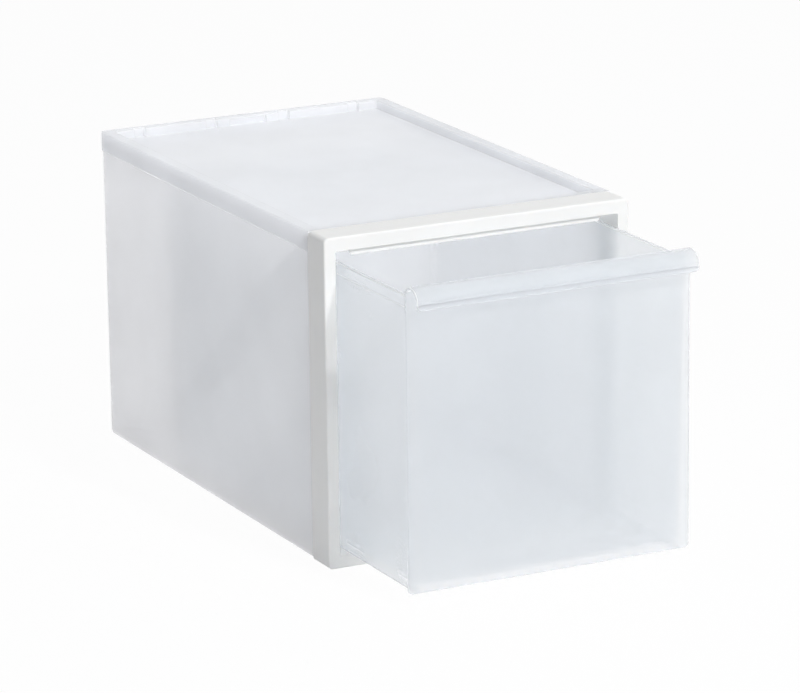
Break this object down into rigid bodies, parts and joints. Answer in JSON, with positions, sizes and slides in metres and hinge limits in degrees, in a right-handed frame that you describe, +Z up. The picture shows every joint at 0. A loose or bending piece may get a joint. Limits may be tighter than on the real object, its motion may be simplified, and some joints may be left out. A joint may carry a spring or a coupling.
{
  "type": "stackable drawer box",
  "caption": "Stackable frosted storage box with a white front frame, a recessed clip-on top and a deep sliding drawer with a curled grip.",
  "frame": {"origin": "On the ground under the middle of the casing (front frame, case and cover), which stands on z = 0. The drawer doesn't count.", "axes": "+Z up, -Y towards the user and the way the drawer comes out, +X to the user's right"},
  "size_m": [0.252, 0.528, 0.25],
  "materials": {
    "case_plastic": "frosted see-through polypropylene, fine matt texture",
    "cover_plastic": "frosted see-through polypropylene, satin top",
    "frame_plastic": "solid white moulded plastic, satin",
    "drawer_plastic": "frosted see-through polypropylene, satin front"
  },
  "bodies": {
    "casing": {"case_body": "case_plastic", "top_cover": "cover_plastic", "front_frame": "frame_plastic"},
    "drawer": {"drawer": "drawer_plastic"}
  },
  "joints": [
    {"name": "drawer_slide", "type": "slide", "parent": "casing", "child": "drawer", "axis": [0, -1, 0], "range_m": [-0.108, 0.192]}
  ]
}
